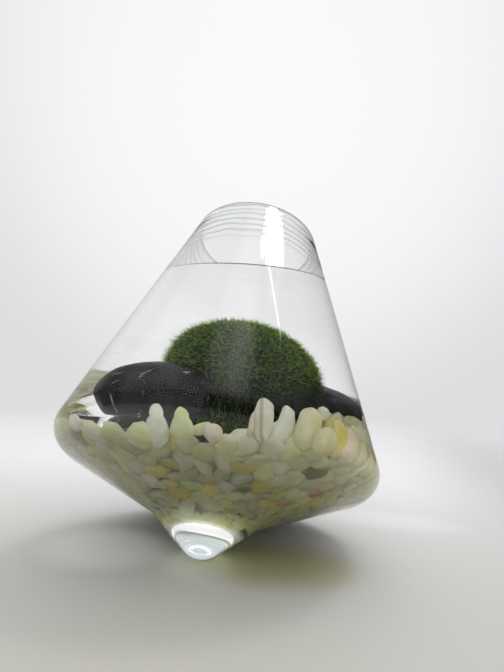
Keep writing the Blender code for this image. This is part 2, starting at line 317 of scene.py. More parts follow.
def coneAngle():
    toRim = (vase["rimRadius"] - bellyMiddle()[0], vase["rimAt"] - vase["bellyAt"])
    return math.atan2(toRim[1], toRim[0]) - math.acos(vase["bellyEdge"] / math.hypot(*toRim))


def bellyMiddle():
    return vase["bellyRadius"] - vase["bellyEdge"], vase["bellyAt"]


def tipCorner():
    facing = vase["lowerSlope"] - math.pi / 2
    x, y = bellyMiddle()
    x, y = x + vase["bellyEdge"] * math.cos(facing), y + vase["bellyEdge"] * math.sin(facing)
    return vase["tipConeRadius"], y + (vase["tipConeRadius"] - x) * math.tan(vase["lowerSlope"])


def longCone(start, end):
    steps = vase["steps"]["cone"]
    return [(start[0] + (end[0] - start[0]) * k / steps, start[1] + (end[1] - start[1]) * k / steps)
            for k in range(1, steps + 1)]


def outerOutline():
    slope, tipSlope, steps = vase["lowerSlope"], vase["tipSlope"], vase["steps"]
    corner = tipCorner()
    ballAt = corner[1] - corner[0] * math.tan(tipSlope) + vase["tipBall"] / math.cos(tipSlope)
    ball = arc((0, ballAt), vase["tipBall"], -math.pi / 2, tipSlope - math.pi / 2, steps["tip"])
    along = vase["tipFillet"] * math.tan((tipSlope - slope) / 2)
    touch = (corner[0] + along * math.cos(slope), corner[1] + along * math.sin(slope))
    middle = (touch[0] + math.sin(slope) * vase["tipFillet"], touch[1] - math.cos(slope) * vase["tipFillet"])
    fillet = arc(middle, vase["tipFillet"], math.pi / 2 + tipSlope, math.pi / 2 + slope, steps["fillet"])
    edge = arc(bellyMiddle(), vase["bellyEdge"], slope - math.pi / 2, coneAngle(), steps["edge"])
    return ball + fillet + edge + longCone(edge[-1], (vase["rimRadius"], vase["rimAt"]))


# The hollow from its rounded floor up, so far inside the vase's outline
def innerOutline(inset):
    slope, steps = vase["lowerSlope"], vase["steps"]
    edge = arc(bellyMiddle(), vase["bellyEdge"] - inset, slope - math.pi / 2, coneAngle(), steps["edge"])
    facing = (math.sin(slope), -math.cos(slope))
    radius = vase["bowlRadius"] + vase["wall"] - inset
    bowlAt = (facing[0] * edge[0][0] + facing[1] * edge[0][1] - radius) / facing[1]
    bowl = arc((0, bowlAt), radius, -math.pi / 2, slope - math.pi / 2, steps["floor"])
    rim = (vase["rimRadius"] - inset * math.cos(coneAngle()), vase["rimAt"] - inset * math.sin(coneAngle()))
    return bowl + edge + longCone(edge[-1], rim)


def vaseOutline():
    outer, inner = outerOutline(), innerOutline(vase["wall"])
    middle = [(a + b) / 2 for a, b in zip(outer[-1], inner[-1])]
    lip = arc(middle, vase["wall"] / 2, coneAngle(), coneAngle() + math.pi, vase["steps"]["lip"])[1:-1]
    return outer + lip + inner[::-1], len(outer) + len(lip)


# Turns an outline's points round the axis, waves the neck and leans the result
def turnedTree():
    inputs = {"Around": "Int", "Inside From": "Int", "Wave Height": "Float", "Wave Spacing": "Float",
              "Wave From": "Float", "Wave To": "Float", "Lean": "Float", "Foot": "Vector", "Material": "Material"}
    tree, maker, start = geometryTree("turnedVessel", inputs)
    around = start.other("Around")
    count = maker.add("GeometryNodeAttributeDomainSize", {"component": "MESH"}, {0: start})
    columns = around + 1
    grid = maker.add("GeometryNodeMeshGrid", {}, {"Vertices X": count, "Vertices Y": columns})
    index = maker.add("GeometryNodeInputIndex")
    row = (index / columns).floor()
    angle = (index % columns) * math.tau / around
    place = maker.add("GeometryNodeInputPosition")
    outline = maker.add("GeometryNodeSampleIndex", {"data_type": "FLOAT_VECTOR", "domain": "POINT"},
                        {"Geometry": start, "Value": place, "Index": row})
    radius, _, along = maker.split(outline)
    first, last = start.other("Wave From"), start.other("Wave To")
    fadeIn, fadeOut = inMm(vase["waveFades"])
    shown = along.ease(first, first + fadeIn) * (1 - along.ease(last - fadeOut, last))
    drift = maker.joined(angle.cosine(), angle.sine(), along * vase["waveDrift"])
    unrest = maker.noise(drift, vase["wavePitch"], 1.0)
    wave = (along * math.tau / start.other("Wave Spacing") + unrest * vase["waveUnrest"]).sine()
    outside = row < start.other("Inside From")
    radius = radius + start.other("Wave Height") * (wave - 1) * shown * outside
    turned = maker.joined(radius * angle.cosine(), radius * angle.sine(), along)
    shaped = grid.then("SetPosition", Position=turned)
    inner = (index / around).floor() > start.other("Inside From") - 1.5
    marked = maker.stored(shaped, "inside", inner, "INT", "FACE")
    closed = marked.then("MergeByDistance", Distance=1e-6)
    lean = maker.add("FunctionNodeEulerToRotation", {}, {0: maker.joined(0 - start.other("Lean"))})
    stood = closed.then("Transform", Translation=start.other("Foot"), Rotation=lean).then("SetShadeSmooth")
    closeTree(maker, stood.then("RealizeInstances").then("SetMaterial", Material=start.other("Material")))
    return tree


def turnedPiece(name, points, insideFrom, waves, material):
    mesh = pointMesh(name, [(r * mm, 0, s * mm) for r, s in points], {})
    values = {"Around": vase["around"], "Inside From": insideFrom, "Wave Height": waves * mm,
              "Wave Spacing": vase["waveSpacing"] * mm, "Wave From": vase["waveFrom"] * mm,
              "Wave To": vase["waveTo"] * mm, "Lean": vase["lean"], "Foot": vaseFoot, "Material": material}
    return grown(name, mesh, turnedShape, values)


# How far light bends where each meets air
bends = {"glass": 1.5, "water": 1.333}


def clearStuff(name, bend, tint=(1, 1, 1), through=1.0, glowing=0.0):
    return plainMaterial(name, {"Base Color": (*tint, 1), "Roughness": 0.0, "IOR": bend,
                                "Transmission Weight": through, "Emission Strength": glowing})


# Height along the vase's leaning axis, from where it meets the table
def alongAxis(maker):
    place = maker.place()
    axis = (0, math.sin(vase["lean"]), math.cos(vase["lean"]))
    return place, maker.vector("DOT_PRODUCT", maker.vector("SUBTRACT", place, vaseFoot), axis, output=1)


def turnedAside(maker, limits):
    return maker.add("ShaderNodeLayerWeight", {}, {"Blend": 0.5}).other("Facing").ease(*limits)


# Ranges are in millimetres along the axis, and "aside" is how far the glass is turned away from the eye
neck = {
    "spacing": 3.8,
    "unrest": 13,
    # Painted shade: the heights where grey rings begin, their grey's share over all the neck, how it grows towards
    # the sides, and the clear and grey colours
    "from": (104, 112),
    "everywhere": 0.25,
    "aside": (0.1, 0.65),
    "clear": (1.0, 1.0, 1.0),
    "ring": (0.46, 0.50, 0.44),
}
# The tip's painted glow: its colour, how it fades towards the sides, the heights it spans, and how high the outside
# counts as tip
tip = {"glow": (0.56, 0.61, 0.62), "aside": (0.52, 0.85), "from": (0.3, 1.5), "upTo": (6.0, 8.5), "faces": 11.0}


# The dry neck, whose waves left by turning the hot glass get grey rings painted into the glass's colour, stronger
# towards its sides, as painted shade for how those waves show
def neckMaterial():
    made, maker, shader = clearStuff("neckGlass", bends["glass"])
    place, along = alongAxis(maker)
    wave = (along * (math.tau / (neck["spacing"] * mm)) + maker.noise(place, 45, 2) * neck["unrest"]).sine()
    # Painted shade: grey where the waves run and a share of it everywhere, more towards the sides
    ring = wave.ease(0.0, 0.9) * along.ease(*inMm(neck["from"])) * (1 - neck["everywhere"]) + neck["everywhere"]
    ring = ring * turnedAside(maker, neck["aside"])
    feed(maker, shader, {"Base Color": maker.mixed(ring, neck["clear"], neck["ring"])})
    return made


# The solid tip, with a painted glow inside that stands in for the light that the vase gathers there
def tipMaterial():
    made, maker, shader = clearStuff("tipGlass", bends["glass"], glowing=1.0)
    _, along = alongAxis(maker)
    inside = along.ease(*inMm(tip["from"])) * (1 - along.ease(*inMm(tip["upTo"])))
    glow = (1 - turnedAside(maker, tip["aside"])) * inside
    feed(maker, shader, {"Emission Color": maker.mixed(glow, (0, 0, 0), tip["glow"])})
    return made


def outwards(bm):
    bmesh.ops.recalc_face_normals(bm, faces=bm.faces)
    if bm.calc_volume(signed=True) < 0:
        bmesh.ops.reverse_faces(bm, faces=bm.faces)


def intoMesh(bm, mesh):
    bm.to_mesh(mesh)
    bm.free()
    return mesh


def makeVase():
    points, insideFrom = vaseOutline()
    made = turnedPiece("glassVase", points, insideFrom, vase["waveHeight"], clearGlass)
    slots = {"clear": clearGlass, "wet": wetGlass, "lip": lipGlass, "neck": neckGlass, "tip": tipGlass}
    made.data.materials.clear()
    for material in slots.values():
        made.data.materials.append(material)
    wetTo = (water["level"] + water["rise"]) * mm
    bm = bmesh.new()
    bm.from_mesh(made.data)
    inside = bm.faces.layers.int["inside"]
    inner = [face for face in bm.faces if face[inside]]
    sides = {part for face in inner for part in (*face.verts, *face.edges)}
    bmesh.ops.bisect_plane(bm, geom=[*inner, *sides], plane_co=(0, 0, wetTo), plane_no=(0, 0, 1))
    outwards(bm)
    for face in bm.faces:
        middle = face.calc_center_median()
        along = (vaseTurn @ (middle - Vector(vaseFoot))).z
        part = "clear"
        if face[inside] and middle.z < wetTo:
            part = "wet"
        elif middle.z > wetTo:
            part = "neck"
        if along > (vase["rimAt"] + 0.05) * mm:
            part = "lip"
        if not face[inside] and along < tip["faces"] * mm:
            part = "tip"
        face.material_index = list(slots).index(part)
    intoMesh(bm, made.data)
    return made


# Level water with its edge drawn up the glass, the outer rings of that edge tinted near black as painted shade for
# the dark line it shows
def makeWater():
    points = innerOutline(vase["wall"] + water["fromGlass"])
    made = turnedPiece("stillWater", points, 0, 0.0, waterWall)
    made.data.materials.append(waterTop)
    made.data.materials.append(waterEdge)
    bm = bmesh.new()
    bm.from_mesh(made.data)
    top = (water["level"] + water["rise"]) * mm
    everything = [*bm.verts, *bm.edges, *bm.faces]
    cut = bmesh.ops.bisect_plane(bm, geom=everything, plane_co=(0, 0, top), plane_no=(0, 0, 1), clear_outer=True)
    rim = [part for part in cut["geom_cut"] if isinstance(part, bmesh.types.BMVert)]
    middle = sum((vert.co for vert in rim), Vector()) / len(rim)
    rim.sort(key=lambda vert: math.atan2(vert.co.y - middle.y, vert.co.x - middle.x))
    rings = [rim]
    for step in range(1, water["rings"] + 1):
        share = step / water["rings"]
        inwards = share ** water["crowding"] * water["ringsTo"] * water["reach"] * mm
        drawn = math.exp(-inwards / mm / water["reach"]) * (1 - share ** water["levelling"])
        height = water["level"] + water["rise"] * drawn
        ring = []
        for vert in rim:
            out = (vert.co - middle).length
            spot = middle + (vert.co - middle) * (1 - inwards / out)
            ring.append(bm.verts.new((spot.x, spot.y, height * mm)))
        rings.append(ring)
    tops = []
    for outer, inner in zip(rings, rings[1:]):
        for k in range(len(outer)):
            after = (k + 1) % len(outer)
            tops.append(bm.faces.new((outer[k], outer[after], inner[after], inner[k])))
    tops.append(bm.faces.new(rings[-1]))
    for k, face in enumerate(tops):
        face.material_index = 2 if k < len(rim) * water["paintedShadeRings"] else 1
        face.smooth = len(face.verts) == 4
    outwards(bm)
    intoMesh(bm, made.data)
    return made


turnedShape = turnedTree()
# Each wall bends light by what lies on its two sides. The thin gap between glass and water bends none
clearGlass = clearStuff("clearGlass", bends["glass"])[0]
wetGlass = clearStuff("glassAgainstWater", bends["glass"] / bends["water"])[0]
waterWall = clearStuff("waterAgainstGlass", 1.0)[0]
waterTop = clearStuff("waterSurface", bends["water"])[0]
# The lip's grey-green tint is partly the glass's own tint seen edge on and partly painted shade for the grey line
# along the rim
lipGlass = clearStuff("lipGlass", bends["glass"], (0.60, 0.63, 0.60))[0]
# The water's edge is tinted near black, painted shade for the dark line that the meniscus shows
waterEdge = clearStuff("waterEdge", bends["water"], (0.05, 0.06, 0.045), 0.25)[0]
neckGlass = neckMaterial()
tipGlass = tipMaterial()
glassVase = makeVase()
stillWater = makeWater()
print("vase and water made:", len(glassVase.data.polygons), len(stillWater.data.polygons), "faces")


# A solid's mesh with its loose triangles merged
def mergedCopy(node):
    bm = bmesh.new()
    bm.from_mesh(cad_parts[node].data)
    bmesh.ops.remove_doubles(bm, verts=bm.verts, dist=2e-6)
    return bm


def treeOf(node):
    bm = mergedCopy(node)
    tree = BVHTree.FromBMesh(bm)
    bm.free()
    return tree


# A solid made finer and rounder, and stretched back to the solid's own box
def finer(name, node, levels):
    base = linked(name + "Base", intoMesh(mergedCopy(node), bpy.data.meshes.new(name)))
    smooth = base.modifiers.new("rounder", "SUBSURF")
    smooth.levels = smooth.render_levels = levels
    ready = base.evaluated_get(bpy.context.evaluated_depsgraph_get())
    result = bpy.data.meshes.new_from_object(ready)
    bpy.data.objects.remove(base)
    co = pointsOf(result)
    low, high = (np.array(corner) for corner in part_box(node))
    co = low + (co - co.min(0)) / (co.max(0) - co.min(0)) * (high - low)
    result.vertices.foreach_set("co", co.ravel())
    result.shade_smooth()
    result.name = name
    return linked(name, result)


# The hollow's sides as lines of its outline, each with the way it faces and how far out it lies
def hollowSides(gap):
    outline = np.array(innerOutline(vase["wall"] + gap)[1:]) * mm
    steps = np.diff(outline, axis=0)
    facings = np.stack((steps[:, 1], -steps[:, 0]), 1) / np.linalg.norm(steps, axis=1)[:, None]
    return facings, (facings * outline[:-1]).sum(1)


def seenFromAxis(places):
    return (places - vaseFoot) @ np.array(vaseTurn).T


# How far each place lies from the axis and past the hollow's nearest side, and the way that this side faces
def pastGlass(local, gap):
    facings, limits = hollowSides(gap)
    out = np.hypot(local[:, 0], local[:, 1])
    over = np.outer(out, facings[:, 0]) + np.outer(local[:, 2], facings[:, 1]) - limits
    worst = over.argmax(1)
    return out, over[np.arange(len(local)), worst], facings[worst]


# Presses what would stick into the glass flat against it, as the hollow is round and bulges outwards everywhere
def heldByGlass(mesh, gap):
    co = seenFromAxis(pointsOf(mesh))
    for again in range(3):
        out, past, ways = pastGlass(co, gap)
        push = np.clip(past, 0, None)
        co[:, :2] *= np.where(out > 0, (out - push * ways[:, 0]) / np.maximum(out, 1e-9), 1)[:, None]
        co[:, 2] -= push * ways[:, 1]
    co = co @ np.array(vaseTurn) + vaseFoot
    mesh.vertices.foreach_set("co", co.ravel())
    mesh.update()


# Moves a mesh's points in and out along their normals
def roughened(mesh, height, size, seed):
    shift = Vector((seed * 3.1, seed, seed * 1.7))
    moved = [vert.co + vert.normal * height * (noise.fractal(vert.co / size + shift, 0.9, 2.0, 2) - 0.3)
             for vert in mesh.vertices]
    mesh.vertices.foreach_set("co", np.array(moved).ravel())
    mesh.update()


# A stone from its solid: rounder, a little uneven and clear of the glass
stones = {"uneven": 0.25, "fromGlass": 0.1}


def stonePiece(name, node, levels, pitch, seed, material):
    piece = finer(name, node, levels)
    roughened(piece.data, stones["uneven"] * mm, pitch * mm, seed)
    heldByGlass(piece.data, stones["fromGlass"])
    piece.data.materials.clear()
    piece.data.materials.append(material)
    return piece


moss = {
    "middle": (3.3, 25.4, 49.3),  # from the vase's foot
    "half": Vector((21.0, 21.0, 21.0)),
    "lowHalf": 17.0,
    "lumps": 0.03,
    "seed": 3,
    "skin": 1.5,
    "uneven": 0.7,
    "past": 0.3,
    "bodyRadius": 20.0,
    "fibres": 15000,
    "length": 2.5,
    "thick": 0.12,
    "point": 0.15,
    "bend": 0.5,
    "spread": 0.85,
    "sizes": (0.5, 1.15),
    "through": 0.88,
    # Painted shade: below these heights the ball's colour darkens towards black
    "foot": (40.0, 57.0),  # the heights over which it turns from black to green
}
mossColours = {
    "body": ((0.010, 0.022, 0.003), (0.028, 0.058, 0.009)),
    "bodyPaintedShade": (0.003, 0.006, 0.001),
    "bladeDark": ((0.014, 0.034, 0.003), (0.028, 0.062, 0.006)),
    "bladeLight": ((0.14, 0.25, 0.014), (0.31, 0.43, 0.035)),
    "bladePaintedShade": (0.004, 0.008, 0.001),
    "throughBlade": (0.66, 0.84, 0.12),
}


def mossBody():
    x, y, z = moss["middle"]
    middle = Vector((x, y + vase["footY"], z)) * mm
    solid = treeOf("marimo_ball")
    bm = bmesh.new()
    bmesh.ops.create_icosphere(bm, subdivisions=5, radius=1.0)
    for vert in bm.verts:
        facing = vert.co.normalized()
        place = facing * 1.4 + Vector((moss["seed"] * 7.3, moss["seed"], 0))
        reach = facing * (1 + moss["lumps"] * noise.noise(place))
        if reach.z < 0:
            reach.z *= moss["lowHalf"] / moss["half"].z
        spot = Vector(a * b for a, b in zip(reach, moss["half"])) * mm
        hit = solid.ray_cast(middle, facing)
        out = spot.length if hit[3] is None else min(spot.length, hit[3] + moss["past"] * mm)
        fine = noise.fractal(facing * 7, 0.8, 2.2, 4) * moss["uneven"]
        vert.co = middle + spot.normalized() * (out - (moss["skin"] - fine) * mm)
    mesh = intoMesh(bm, bpy.data.meshes.new("mossBody"))
    mesh.shade_smooth()
    return mesh


# Short blades stand all over the ball, each bent its own way
def fibreTree():
    inputs = {"Fibres": "Float", "Length": "Float", "Thick": "Float", "Spread": "Float", "Seed": "Int",
              "Body": "Material", "Fibre": "Material"}
    tree, maker, start = geometryTree("mossFibres", inputs)
    spots = maker.add("GeometryNodeDistributePointsOnFaces", {"distribute_method": "RANDOM"},
                      {"Mesh": start, "Density": start.other("Fibres"), "Seed": start.other("Seed")})
    blade = maker.add("GeometryNodeMeshCone", {"fill_type": "NONE"},
                      {"Vertices": 3, "Side Segments": 2, "Radius Top": start.other("Thick") * moss["point"],
                       "Radius Bottom": start.other("Thick"), "Depth": start.other("Length")})
    height = (maker.split(maker.add("GeometryNodeInputPosition"))[2] / start.other("Length")).most(0)
    bend = maker.joined(height * height * start.other("Length") * moss["bend"])
    bent = blade.then("SetPosition", Offset=bend)
    marked = maker.stored(maker.stored(bent, "alongFibre", height), "onFibre", 1.0)
    shake = maker.add("FunctionNodeRandomValue", {"data_type": "FLOAT_VECTOR"},
                      {"Min": (-1, -1, -1), "Max": (1, 1, 1), "Seed": start.other("Seed")})
    spread = maker.vector("SCALE", shake, None, None, start.other("Spread"))
    lean = maker.vector("ADD", spots.other("Normal"), spread)
    turn = maker.add("FunctionNodeAlignRotationToVector", {"axis": "Z"}, {"Vector": lean})
    spin = maker.add("FunctionNodeRandomValue", {"data_type": "FLOAT"}, {2: 0.0, 3: math.tau, "Seed": 5}, 1)
    spun = maker.add("FunctionNodeAxisAngleToRotation", {}, {"Axis": (0, 0, 1), "Angle": spin})
    turn = maker.add("FunctionNodeRotateRotation", {"rotation_space": "LOCAL"}, {0: turn, 1: spun})
    least, most = moss["sizes"]
    size = maker.add("FunctionNodeRandomValue", {"data_type": "FLOAT"}, {2: least, 3: most, "Seed": 9}, 1)
    stood = maker.add("GeometryNodeInstanceOnPoints", {},
                      {"Points": spots, "Instance": marked, "Rotation": turn, "Scale": size})
    whole = maker.add("GeometryNodeJoinGeometry")
    for part in (stood, start):
        maker.tree.links.new(part.link, whole.link.node.inputs[0])
    onFibre = maker.add("GeometryNodeInputNamedAttribute", {"data_type": "FLOAT"}, {"Name": "onFibre"}) > 0.5
    whole = whole.then("RealizeInstances").then("SetMaterial", Material=start.other("Body"))
    closeTree(maker, whole.then("SetMaterial", Material=start.other("Fibre"), Selection=onFibre))
    return tree


def mossMaterials():
    body, maker, shader = plainMaterial("mossBody", {"Roughness": 0.95, "Specular IOR Level": 0.05})
    place = maker.place()
    colour = maker.mixed(maker.noise(place, 260, 5, 0.65).ease(0.38, 0.66), *mossColours["body"])
    # Painted shade darkens the body towards black on the underside
    abovePaintedShade = maker.split(place)[2].ease(*inMm(moss["foot"]))
    colour = maker.mixed(abovePaintedShade, mossColours["bodyPaintedShade"], colour)
    feed(maker, shader, {"Base Color": colour, "Normal": maker.bump(maker.noise(place, 900, 4), 0.6, 0.6 * mm)})

    fibre, maker, shader = plainMaterial("mossFibre", {"Roughness": 0.75, "Specular IOR Level": 0.05})
    place = maker.place()
    patchy = maker.noise(place, 170, 3).ease(0.35, 0.65)
    dark, light = (maker.mixed(patchy, *mossColours[name]) for name in ("bladeDark", "bladeLight"))
    # Painted shade darkens the fibres on the underside too
    abovePaintedShade = maker.split(place)[2].ease(*inMm(moss["foot"]))
    towardsTip = maker.attribute("alongFibre").ease(0.25, 0.95) * (abovePaintedShade * 0.85 + 0.15)
    colour = maker.mixed(abovePaintedShade, mossColours["bladePaintedShade"], maker.mixed(towardsTip, dark, light))
    feed(maker, shader, {"Base Color": colour})
    through = maker.add("ShaderNodeBsdfTranslucent", {}, {"Color": (*mossColours["throughBlade"], 1.0)})
    mixShaders(maker, shader, through, towardsTip * moss["through"])
    return body, fibre


def makeBall():
    body, fibre = mossMaterials()
    area = 4 * math.pi * (moss["bodyRadius"] * mm) ** 2
    values = {"Fibres": moss["fibres"] / area, "Length": moss["length"] * mm, "Thick": moss["thick"] * mm,
              "Spread": moss["spread"], "Seed": 4, "Body": body, "Fibre": fibre}
    return grown("mossBall", mossBody(), fibreTree(), values)


mossBall = makeBall()
print("moss ball made:", len(mossBall.data.polygons), "faces")


pebbles = {"black_pebble_left": "pebbleLeft", "black_pebble_right": "pebbleRight"}
pebbleColours = {
    "stone": ((0.006, 0.006, 0.007), (0.02, 0.02, 0.021)),
    "paleCurve": (0.35, 0.36, 0.35),
    "speck": (0.30, 0.30, 0.28),
}


def pebbleMaterial():
    made, maker, shader = plainMaterial("blackStone", {"Roughness": 0.22, "IOR": 1.2})
    place = maker.place()
    cloud = maker.noise(place, 120, 4, 0.6)
    colour = maker.mixed(cloud.ease(0.4, 0.7), *pebbleColours["stone"])
    # Pale curved lines over the stone
    bent = maker.vector("MULTIPLY_ADD", maker.noise(place, 60, 2).other("Color"), (0.02, 0.02, 0.02), place)
    rings = maker.add("ShaderNodeTexVoronoi", {"feature": "DISTANCE_TO_EDGE"}, {"Vector": bent, "Scale": 75})
    paleCurve = (1 - rings.ease(0.0, 0.022)) * maker.noise(place, 420, 2).ease(0.52, 0.62)
    colour = maker.mixed(paleCurve * 0.8, colour, pebbleColours["paleCurve"])
    specks = maker.noise(place, 1900, 2, 0.7).ease(0.70, 0.76)
    colour = maker.mixed(specks * 0.5, colour, pebbleColours["speck"])
    feed(maker, shader, {"Base Color": colour, "Roughness": cloud * 0.2 + 0.12,
                         "Normal": maker.bump(cloud, 0.12, 0.4 * mm)})
    return made


blackStone = pebbleMaterial()
pebblePieces = {node: stonePiece(name, node, 3, 9.0, len(node), blackStone) for node, name in pebbles.items()}
print("pebbles made")


# How much of its light a chip lets through, more of it at its thin edge, and of what colour
chipLight = {"through": 0.3, "atEdge": 0.34, "colour": (0.98, 0.965, 0.80)}
# Coloured marks on a chip: warm patches, specks and a vein, and a pale "edge" that is painted light for what
# scatters out of its thin rim
chipMarks = {"warm": (0.92, 0.84, 0.52), "speck": (0.60, 0.55, 0.42), "vein": (0.50, 0.34, 0.16),
             "edge": (0.985, 0.98, 0.93)}
# Colours that a chip can have, and how common each is in the bed
tones = {
    "milk": ((0.97, 0.975, 0.90), 0.22),
    "cream": ((0.965, 0.93, 0.66), 0.30),
    "green": ((0.85, 0.91, 0.56), 0.22),
    "yellow": ((0.96, 0.86, 0.30), 0.19),
    "rose": ((0.93, 0.84, 0.76), 0.02),
    "orange": ((0.90, 0.58, 0.20), 0.004),
    "red": ((0.68, 0.26, 0.16), 0.002),
    "dark": ((0.26, 0.28, 0.17), 0.018),
}


# A stone that light goes through, of the colour kept in its "tone"
def stoneMaterial():
    made, maker, shader = plainMaterial("tumbledStone", {"Roughness": 0.34, "IOR": 1.16})
    place, tone = maker.place(), maker.attribute("tone", "Color")
    cloud = maker.noise(place, 330, 4, 0.6)
    lighter = maker.vector("MULTIPLY", tone, (1.02, 1.02, 1.02))
    darker = maker.vector("MULTIPLY", tone, (0.84, 0.87, 0.74))
    specks = maker.noise(place, 1500, 2, 0.7)
    edge = maker.attribute("edge")
    colour = maker.mixed(cloud.ease(0.36, 0.66), darker, lighter)
    # The pale edge mark is painted light
    shares = {"warm": maker.noise(place, 140, 2).ease(0.55, 0.75) * 0.35, "speck": specks.ease(0.68, 0.76) * 0.4,
              "vein": maker.attribute("vein").ease(0.2, 0.8) * 0.85, "edge": edge * 0.6}
    for mark, share in shares.items():
        colour = maker.mixed(share, colour, chipMarks[mark])
    feed(maker, shader, {"Base Color": colour, "Roughness": cloud * 0.3 + 0.2,
                         "Normal": maker.bump(cloud + specks * 0.3, 0.35, 0.5 * mm)})
    through = maker.add("ShaderNodeBsdfTranslucent", {}, {"Color": (*chipLight["colour"], 1.0)})
    mixShaders(maker, shader, through, edge * chipLight["atEdge"] + chipLight["through"])
    return made


# Gives a large chip its colour, a little darker than in the bed, and one of them its brown vein
def paint(mesh, tone, veined):
    layer = mesh.attributes.new("tone", "FLOAT_VECTOR", "POINT")
    layer.data.foreach_set("vector", np.tile(np.array(tones[tone][0]) * 0.86, len(mesh.vertices)))
    if veined:
        across = np.array([vert.co.x + 0.12 * vert.co.z for vert in mesh.vertices])
        layer = mesh.attributes.new("vein", "FLOAT", "POINT")
        layer.data.foreach_set("value", np.clip(1 - abs(across - np.median(across)) / (0.8 * mm), 0, 1))


chipTones = {
    "chip_white_tall": "milk", "chip_green_round": "green", "chip_vein": "milk", "chip_rose_round": "rose",
    "chip_cream_large": "cream", "chip_yellow_right": "yellow", "chip_cream_left": "cream",
    "chip_moss_green": "green", "chip_slim_pale": "milk", "chip_round_head": "milk",
    "chip_green_leaf": "green", "chip_green_left": "green", "chip_yellow_left": "yellow",
    "chip_grey_blue": "milk", "chip_needle": "rose", "chip_broad_pale": "milk", "chip_cream_far": "milk",
    "chip_spotted": "rose", "chip_pale_right": "cream",
}
tumbledStone = stoneMaterial()
chipPieces = {}
for node, tone in chipTones.items():
    words = node.split("_")
    name = words[0] + "".join(word.title() for word in words[1:])
    chipPieces[node] = stonePiece(name, node, 2, 3.0, len(node) + len(chipPieces), tumbledStone)
    paint(chipPieces[node].data, tone, node == "chip_vein")
print("large chips made:", len(chipPieces))


# The small chips that fill the vase below the large ones. From "near" to "proud" they are shares of a chip's
# radius: how near the glass it counts as lying on it, how far it then stays off, what its middle keeps from the
# wall, the large chips and its neighbours, and how far it stands out of the bed's top
bed = {
    "count": 1900,
    "radius": (1.6, 3.5),
    "wide": (1.25, 1.8),
    "broad": (0.95, 1.3),
    "flat": (0.5, 0.75),
    "rounds": 70,
    "seed": 21,
    "lumps": 0.21,
    "near": 1.5,
    "pressed": 1.12,
    "fromWall": 0.62,
    "fromChips": 0.7,
    "apart": 0.93,
    "bankProud": 0.1,
    "proud": -0.6,
    "push": 0.3,
    "tilt": 0.42,
    "fromGlass": 0.12,
    "grid": 1.0,
    "bank": 42.2,
    "bankWidth": 8.0,
    "bankTo": -8.0,
    "deepPaintedShade": 0.72,
    # Painted shade: chips go from the "high" colour at the top of the bed to the darker, yellower "low" one at its
    # bottom
    "low": (0.78, 0.81, 0.50),
    "high": (1.0, 0.99, 0.88),
    "marked": {"orange": (29.0, -25.0, 24.0), "red": (34.5, -21.0, 24.0)},
}


# The bed's top under the large chips, the pebbles and the ball, as heights on a grid
def bedTop():
    solid = treeOf("gravel_bed")
    low, high = (np.array(corner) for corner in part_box("gravel_bed"))
    step = bed["grid"] * mm
    columns, rows = (int(side / step) + 1 for side in (high - low)[:2])
    heights = np.full((columns, rows), np.nan)
    for column in range(columns):
        for row in range(rows):
            hit = solid.ray_cast((low[0] + column * step, low[1] + row * step, high[2] + 0.01), (0, 0, -1))[0]
            if hit:
                heights[column, row] = hit.z
    for again in range(8):
        around = np.stack([np.roll(heights, way, (0, 1)) for way in ((1, 0), (-1, 0), (0, 1), (0, -1))])
        known = ~np.isnan(around)
        mean = np.nansum(around, 0) / np.maximum(known.sum(0), 1)
        heights = np.where(np.isnan(heights) & known.any(0), mean, heights)
    heights = np.nan_to_num(heights, nan=low[2])
    return lambda spots: heights[tuple(np.clip((spots[:, :2] - low[:2]) / step, 0,
                                               (columns - 1, rows - 1)).round().astype(int).T)]


# How deep each spot lies inside the glass, and the way to the nearest wall
def toGlass(spots):
    local = seenFromAxis(spots)
    out, past, ways = pastGlass(local, 0.0)
    around = local[:, :2] / np.maximum(out, 1e-9)[:, None]
    return -past, np.column_stack((around * ways[:, :1], ways[:, 1])) @ np.array(vaseTurn)


# The bed's top at each spot, with the bank of chips that stands against the front glass
def highestAt(spots, depth, top):
    onBank = (depth < bed["bankWidth"] * mm) & (spots[:, 1] < bed["bankTo"] * mm)
    return np.where(onBank, bed["bank"] * mm, top(spots)), onBank


